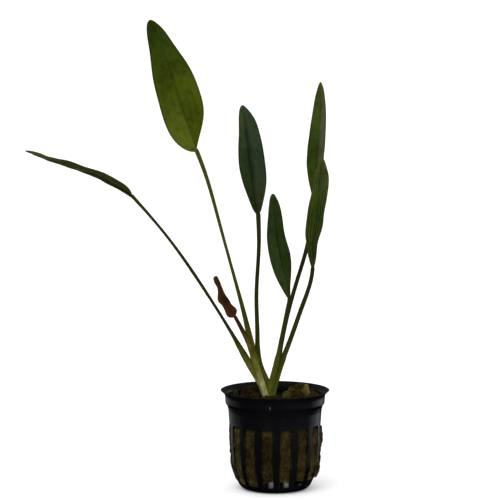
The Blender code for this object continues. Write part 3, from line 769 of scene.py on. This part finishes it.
def lump(x, y, centre, size, turn, height, hollow=0.0):
    """A rounded lump's height over a place: a flat-topped bell drawn out along its turned sides.

    A hollow one is a cup: it stands on a ring, higher at its back than at its front, and slopes more
    gently outside than inside.
    """
    cos, sin = math.cos(math.radians(turn)), math.sin(math.radians(turn))
    along = ((x - centre[0]) * cos + (y - centre[1]) * sin) / size[0]
    across = (-(x - centre[0]) * sin + (y - centre[1]) * cos) / size[1]
    far = np.hypot(along, across)
    steepness = np.where(far < 0.8, 0.22, 0.4)
    cup = np.exp(-((far - 0.8) / steepness) ** 2) * (0.81 + 0.19 * across / np.maximum(far, 0.05))
    return height * ((1.0 - hollow) * np.exp(-far ** 4) + hollow * cup)


def wool_top(x, y):
    """Height of the wool's torn top: a rough bed, heaped round the crown and at the left, with lumps."""
    flat = np.stack([x, y, np.zeros_like(x)], axis=-1)
    bed = WOOL_TOP + rough(flat, TOP_RIPPLES)
    bed = bed - 1.2 * ease(17.0, 23.5, np.hypot(x, y)) - 0.06 * np.maximum(y, 0.0)
    heap = sum(lump(x, y, *each) for each in WOOL_LUMPS)
    from_crown = np.hypot((x - CROWN_AT[0]) / CROWN_SOCKET[0], (y - CROWN_AT[1]) / CROWN_SOCKET[1])
    return bed + heap - 5.0 * ease(1.05, 0.7, from_crown)


def wool_plug():
    """The wool as one closed turned surface: underside, side and torn top, with paler and darker slots and
    painted light and shade on its top.
    """
    angle = np.linspace(-180.0, 180.0, WOOL_COLUMNS + 1)[None, :-1]
    low = np.interp(angle, *zip(*WOOL_UNDERSIDE))
    height = low + (WOOL_SHOULDER - low) * np.linspace(0.0, 1.0, 84)[:, None]
    radius = wool_side(angle, height)
    inward = np.linspace(0.0, 1.0, 16)[:-1, None]
    foot = round_pot(radius[:1] * inward, angle, low * inward ** 2 + WOOL_MIDDLE * (1.0 - inward ** 2))
    foot[..., 2] += rough(foot, FOOT_RIPPLES) * ease(0.0, 0.15, inward)
    top = round_pot(radius[-1:] * np.linspace(1.0, 0.0, 74)[1:, None], angle, WOOL_TOP)
    top[..., 2] = wool_top(top[..., 0], top[..., 1])
    points = np.concatenate([foot, round_pot(radius, angle, height), top])
    x, y, z = np.moveaxis(points, -1, 0)
    # Painted light on high torn edges and painted shade in hollows of the top
    top_tone = sum(level * np.exp(-(np.hypot(x - at_x, y - at_y) / reach) ** 4)
                   for at_x, at_y, reach, level in WOOL_TONES)
    at_angle, at_height, wide, tall, pale = PALE_PLACE
    side_tone = by_slot(angle, SLOT_TONES, 0.0)
    side_tone = side_tone + pale * np.exp(-((angle - at_angle) / wide) ** 2 - ((z - at_height) / tall) ** 2)
    return surface(points, tone=top_tone * ease(41.0, 44.0, z) + side_tone * ease(38.0, 34.0, z))


def fibre_mesh(paths, radius):
    """Thin strands along many paths at once; the paths' ends are drawn to a point."""
    across, outward = beside(np.gradient(paths, axis=1), (0.31, 0.54, 0.78))
    steps = np.arange(FIBRE_STEPS)
    taper = np.sqrt(np.sin(np.pi * (steps + 0.02) / (FIBRE_STEPS - 0.96)))[None, :, None, None]
    turn = (2.0 * np.pi * np.arange(FIBRE_SIDES) / FIBRE_SIDES)[None, None, :, None]
    ring = np.cos(turn) * across[:, :, None] + np.sin(turn) * outward[:, :, None]
    points = paths[:, :, None] + ring * taper * radius[:, None, None, None]
    starts = np.arange(len(paths)) * FIBRE_STEPS * FIBRE_SIDES
    faces = (grid_faces(FIBRE_STEPS, FIBRE_SIDES)[None] + starts[:, None, None]).reshape(-1, 4)
    return points.reshape(-1, 3), faces, {}


def wool_fibres():
    """Loose strands: curved walks over the wool's top, and over its side and a slot's edges."""
    random = np.random.default_rng(21)
    steps = np.linspace(-0.5, 0.5, FIBRE_STEPS)[None, :]
    arch = np.cos(np.pi * steps)
    on_side = (int(FIBRE_COUNT * SIDE_SHARE), 1)
    number = random.integers(0, SLOT_COUNT, on_side)
    heading = random.normal(1.35, 0.6, on_side) * random.choice((-1.0, 1.0), on_side)
    size = random.uniform(*SIDE_LENGTHS, on_side)
    lie = heading + random.normal(0.0, 0.9, on_side) * steps
    start = random.uniform(-7.2, 7.2, on_side)
    off = np.clip(start + size * steps * np.cos(lie) * 2.6, -9.0, 9.0)
    angle = (SLOT_ANGLES[number] + off + 180.0) % 360.0 - 180.0
    height = random.uniform(SLOT_HEIGHTS[0] + 2.4, SLOT_HEIGHTS[1] - 1.2, on_side)
    floor = np.interp(angle, *zip(*WOOL_UNDERSIDE)) + 0.3
    height = np.clip(height + size * steps * np.sin(lie), floor, SLOT_HEIGHTS[1] - 0.3)
    lift = random.uniform(-0.05, 0.3, on_side) * arch
    over_rib = ease(6.3, 7.5, np.abs(off))
    radius = (wool_side(angle, height) + lift) * (1.0 - over_rib)
    radius = radius + (pot_radius(height, POT_OUTSIDE) + 0.16) * over_rib
    side = round_pot(radius, angle, height)

    on_top = (FIBRE_COUNT - on_side[0], 1)
    place = np.sqrt(random.uniform(0.03, 1.0, on_top)) * (TOP_REACH - 0.6)
    turn = random.uniform(0.0, 2.0 * np.pi, on_top)
    lie = random.uniform(0.0, 2.0 * np.pi, on_top) + random.normal(0.0, 1.0, on_top) * steps
    size = random.uniform(*TOP_LENGTHS, on_top)
    x = place * np.sin(turn) + size * steps * np.cos(lie)
    y = -place * np.cos(turn) + size * steps * np.sin(lie)
    reach = np.maximum(np.hypot(x, y) / TOP_REACH, 1.0)
    x, y = x / reach, y / reach
    lift = np.maximum(random.uniform(-0.05, 0.8, on_top), 0.0) ** 1.5 * arch
    top = np.stack([x, y, wool_top(x, y) + lift], axis=-1)
    top = top[np.ptp(top[..., 2], axis=1) < 1.7]
    paths = np.concatenate([side, top])
    return fibre_mesh(paths, random.uniform(*FIBRE_RADII, len(paths)))


def end_points(path, rings):
    """Rings with a row of points at each end, all of them at the path's end."""
    first, last = (np.broadcast_to(end, (1, *rings.shape[1:])) for end in (path[0], path[-1]))
    return np.concatenate([first, rings, last])


def rings_round(path, radius, wide, flat, reference, grooves, cupped=0.0):
    """A tube along a path, its section wide across and flat outward, closed to a point at both ends.

    Each point is the path plus radius times an eased oval with a few shallow ridges; cupped draws its
    two sides back behind the path.
    """
    across, outward = beside(np.gradient(path, axis=0), reference)
    turn = 2.0 * np.pi * np.arange(STALK_SIDES) / STALK_SIDES
    ridge = 1.0 + grooves * (np.cos(3.0 * turn + 0.6) + 0.6 * np.cos(8.0 * turn))
    sideways = (radius * wide)[:, None] * (np.sin(turn) * ridge)
    out = (radius * flat)[:, None] * (np.cos(turn) * ridge) - (radius * cupped)[:, None] * np.sin(turn) ** 2
    rings = path[:, None] + sideways[..., None] * across[:, None] + out[..., None] * outward[:, None]
    # How much each point faces front or back, by which the finishes paint the flanks darker, partly as shade
    facing = np.abs(np.sin(turn) * across[:, None, 1] + np.cos(turn) * outward[:, None, 1])
    along = np.concatenate([[0.0], np.linspace(0.0, 1.0, len(path)), [1.0]])[:, None]
    return surface(end_points(path, rings), along=along, around=np.abs(turn / np.pi - 1.0)[None, :],
                   middle=np.concatenate([facing[:1], facing, facing[-1:]]))


def stalk_samples(leaf, count):
    """Samples of x, y, z and radius along a leaf's axis, from the rootstock up to the blade."""
    return smooth_path([(*ROOT, SHEATH_ROOT_RADIUS), *leaf["stalk"]], count)


def sheath(leaf):
    """A leaf's sheath: the foot of its stalk, widened and cupped round the crown's middle, easing into it."""
    top, spread, pale = leaf["sheath"]
    samples = stalk_samples(leaf, 400)
    path = samples[samples[:, 2] < top][::4]
    height = path[:, 2]
    radius = path[:, 3] + STALK_FULLNESS + 0.06 - 0.3 * ease(top - 3.0, top, height)
    cupped = ease(*SHEATH_CUPPED, height)
    swell = spread * ease(54.0, 66.0, height) * ease(top, 66.0, height)
    away = path[-1, :2] - np.array(ROOT[:2])
    reference = (away[0], away[1], 0.0) if np.hypot(*away) > 1.0 else (0.0, -1.0, 0.0)
    tube = rings_round(path[:, :3], radius, 1.0 + 0.18 * cupped + swell, 1.0 - 0.08 * cupped + 0.6 * swell,
                       reference, 0.03, 0.35 * cupped)
    fading = 1.0 if pale == 1.0 else ease(top - 2.0, top - 12.0, tube[0][..., 2])
    tube[2]["pale"] = pale * fading
    return tube


def crown():
    """The rootstock and the seven sheaths grown together."""
    root = surface(ball(13, 24) * ROOTSTOCK_RADIUS + ROOT, along=0.0, around=0.0, middle=0.0, pale=0.0)
    surfaces = [root, *(sheath(leaf) for leaf in LEAVES.values())]
    finish = stalk_finish("leaf_sheath", OLIVE_STOPS, 0.02, DARK_STOPS)
    make_piece("crown_sheaths", surfaces, finish, "crown")


def stalk(name, leaf, finish):
    """A tapering ridged stalk from the crown's top into the base of its blade."""
    samples = stalk_samples(leaf, 600)
    samples = samples[samples[:, 2] > STALK_START]
    samples[:, 3] += STALK_FULLNESS
    path = samples[np.linspace(0, len(samples) - 1, STALK_ROWS).round().astype(int)]
    end = unit(np.array(leaf["midrib"][0]) - path[-1, :3]) * (GAP + STALK_OVERLAP)
    path = np.vstack([path, [*(path[-1, :3] + end), path[-1, 3]]])
    tube = rings_round(path[:, :3], path[:, 3], 1.0, 1.0, (0.0, -1.0, 0.0), 0.035)
    make_piece(f"{name}_stem", [tube], finish, f"{name}_stalk")


def half_width(stations, along):
    """Half width along a blade, nought at both ends and smooth through the stations."""
    turns = np.arccos(1.0 - 2.0 * np.clip(along, 0.0, 1.0)) / math.pi
    widths = [(i, 0.0, 0.0, width) for i, width in enumerate((0.0, *stations, 0.0))]
    return np.maximum(smooth_path(widths, turns)[:, 3:], 0.0)


def blade_lift(leaf, rows, share, width, full):
    """How far a blade's middle sheet rises off flat: by its fold, its waves, veins and pleats, and its rib.

    Share runs across it from -1 to 1, and full is how much of each the rows have.
    """
    reach = np.abs(share) * width
    lift = reach * math.sin(math.radians(leaf["fold"])) * (1.25 - 0.25 * share ** 2)
    amount, count, phase = leaf["wave"]
    swing = 2.0 * np.pi * count * rows + phase + np.where(share < 0.0, 0.0, WAVE_SHIFT)
    lift = lift + amount * share ** 2 * full * np.sin(swing)
    for vein in leaf["veins"]:
        lift = lift - VEIN_DEPTH * full * np.exp(-((np.abs(share) - vein) * width / VEIN_REACH) ** 2)
    if "pleats" in leaf:
        pleats, depth = leaf["pleats"]
        folds = np.cos(2.0 * np.pi * (pleats + 0.5) * share) - 0.5
        lift = lift + depth * full * folds * (1.0 - 0.5 * share ** 2)
    return lift - RIB_DEPTH * full * np.exp(-(reach / RIB_REACH) ** 2)


def blade_surface(leaf, seed):
    """A leaf blade as one closed skin, in rows from base to tip.

    Columns run from the left margin to the right and back below. The skin lies on both sides of a
    middle sheet, and the midrib stands out below as a keel that starts as round as the stalk.
    """
    along = (1.0 - np.cos(np.pi * np.linspace(0.0, 1.0, BLADE_ROWS))) / 2.0
    rows = along[:, None]
    *stalk_end, stalk_radius = leaf["stalk"][-1]
    start = stalk_end + unit(np.subtract(leaf["midrib"][0], stalk_end)) * GAP
    middle = smooth_path([start, *leaf["midrib"]], along)
    facing = (1.0 - rows) * leaf["facing"][0] + rows * leaf["facing"][1]
    across, outward = beside(np.gradient(middle, along, axis=0), facing)

    pace = np.linspace(-1.0, 1.0, 2 * BLADE_HALF_COLUMNS + 1)
    share = (np.sign(pace) * np.abs(pace) ** 1.35)[None, :]
    least = stalk_radius * ease(0.05, 0.0, rows) + 0.04
    left, right = (np.maximum(half_width(leaf[side], along), least) for side in ("left", "right"))
    width = np.where(share < 0.0, left, right)
    full = ease(0.02, 0.3, rows) * ease(1.0, 0.85, rows)
    sideways = share * width * math.cos(math.radians(leaf["fold"]))
    lift = blade_lift(leaf, rows, share, width, full)
    sheet = middle[:, None] + sideways[..., None] * across[:, None] + lift[..., None] * outward[:, None]
    crinkle = ripple(sheet, leaf["crinkle"], CRINKLE_LENGTH, seed) * full
    sheet = sheet + crinkle[..., None] * outward[:, None]

    normal = np.cross(np.gradient(sheet, axis=1), np.gradient(sheet, axis=0))
    normal = unit(normal + 1e-9 * outward[:, None])
    thick = MARGIN_THICKNESS + (BLADE_THICKNESS - MARGIN_THICKNESS) * (1.0 - share ** 2)
    thick = 0.5 * thick * (1.0 - 0.6 * rows)
    keel = stalk_radius * ease(0.75, -0.1, rows) + 0.12 * (1.0 - rows)
    keel = np.maximum(keel, stalk_radius * ease(0.04, 0.0, rows))
    round_back = np.sqrt(np.maximum(keel ** 2 - (share * width) ** 2, 0.0))
    above = np.maximum(thick, round_back * ease(0.06, 0.0, rows))
    below = np.maximum(thick, round_back)
    top = sheet + above[..., None] * normal
    bottom = (sheet - below[..., None] * normal)[:, ::-1]
    skin = end_points(middle, np.concatenate([top, bottom], axis=1))
    return surface(skin, across=np.concatenate([share, share[:, ::-1]], axis=1),
                   along=np.concatenate([[0.0], along, [1.0]])[:, None],
                   under=np.repeat((0.0, 1.0), share.shape[1])[None, :])


def leaves():
    """Every leaf's stalk and blade; the stalks are dark but for the tallest and the withered one."""
    dark = stalk_finish("stalk_dark", DARK_STOPS)
    others = {"tall_leaf": stalk_finish("stalk_olive", OLIVE_STOPS),
              "withered_leaf": stalk_finish("withered_stalk", BROWN_STOPS)}
    for seed, (name, leaf) in enumerate(LEAVES.items()):
        stalk(name, leaf, others.get(name, dark))
        finish = blade_finish(*BLADE_LOOKS[name])
        make_piece(f"{name}_sheet", [blade_surface(leaf, seed + 40)], finish, f"{name}_blade")


def stone_wool():
    """The plug and its loose strands."""
    plug = wool_finish("wet_stone_wool", ((18, 14, 5), (37, 30, 10), (60, 51, 21)), 0.6)
    make_piece("wool_plug", [wool_plug()], plug, "stone_wool")
    strands = wool_finish("wool_strands", ((35, 28, 11), (56, 46, 20), (88, 74, 40)), 0.3)
    make_piece("wool_strands", [wool_fibres()], strands)


def lamp():
    """A soft square lamp above the front."""
    data = bpy.data.lights.new("key", "AREA")
    data.size = LAMP_SIDE * MM
    data.energy = LAMP_POWER
    light = new_object("key", data)
    light.location = Vector(LAMP_PLACE) * MM
    light.rotation_mode = "QUATERNION"
    light.rotation_quaternion = (Vector(LAMP_TARGET) - Vector(LAMP_PLACE)).to_track_quat("-Z", "Y")
    light.visible_camera = False
    light.visible_glossy = False


def room():
    """A plain room, white to the camera, its bright places seen by all else, the dome dimmer in gloss."""
    world = bpy.data.worlds.new("studio")
    bpy.context.scene.world = world
    world.use_nodes = True
    nodes = Nodes(world.node_tree)
    place = nodes.add("ShaderNodeTexCoord").outputs["Generated"]
    direction = nodes.add("ShaderNodeSeparateXYZ", {0: place}).outputs
    sight = nodes.add("ShaderNodeLightPath").outputs

    def glow(bands):
        """Brightness of one place: the product of its bands along the axes of the direction."""
        level = 1.0
        for axis, stops in bands.items():
            share = nodes.span(direction[axis], -1.0, 1.0)
            band = nodes.ramp(share, [((along + 1.0) / 2.0, bright) for along, bright in stops], "EASE")
            level = nodes.calc("MULTIPLY", level, band)
        return level

    dome, *panels = (glow(bands) for bands in ROOM)
    softened = nodes.calc("MULTIPLY_ADD", sight["Is Glossy Ray"], DOME_GLOSS - 1.0, 1.0)
    level = nodes.calc("MULTIPLY", dome, softened)
    for other in (*panels, sight["Is Camera Ray"]):
        level = nodes.calc("MAXIMUM", level, other)
    background = nodes.tree.nodes["Background"]
    nodes.put(background.inputs["Strength"], nodes.calc("MULTIPLY", level, DOME_LEVEL))
    nodes.put(background.inputs["Color"], (1.0, 1.0, 1.0))


def floor():
    """A wide pale floor."""
    mesh = bpy.data.meshes.new("floor")
    far = FLOOR_REACH * MM
    mesh.from_pydata([(-far, -far, 0.0), (far, -far, 0.0), (far, far, 0.0), (-far, far, 0.0)], [],
                     [(0, 1, 2, 3)])
    pale = Finish("pale_floor").done((0.9, 0.9, 0.9), 0.9, 0.0, Emission_Color=(1.0, 1.0, 1.0),
                                     Emission_Strength=0.12)
    mesh.materials.append(pale)
    ground = new_object("floor", mesh)
    ground.visible_glossy = False


def camera():
    """The photograph's camera."""
    data = bpy.data.cameras.new("camera")
    data.lens = CAMERA_LENS
    data.sensor_width = CAMERA_SENSOR
    data.clip_start, data.clip_end = (reach * MM for reach in CAMERA_RANGE)
    eye = new_object("camera", data)
    eye.location = [c * MM for c in CAMERA_PLACE]
    eye.rotation_euler = (math.radians(90.0 - CAMERA_PITCH), 0.0, 0.0)
    bpy.context.scene.camera = eye
    bpy.context.scene.view_settings.view_transform = "Standard"


def main():
    """Make the studio and every piece."""
    camera()
    floor()
    room()
    lamp()
    net_pot()
    stone_wool()
    crown()
    leaves()


main()
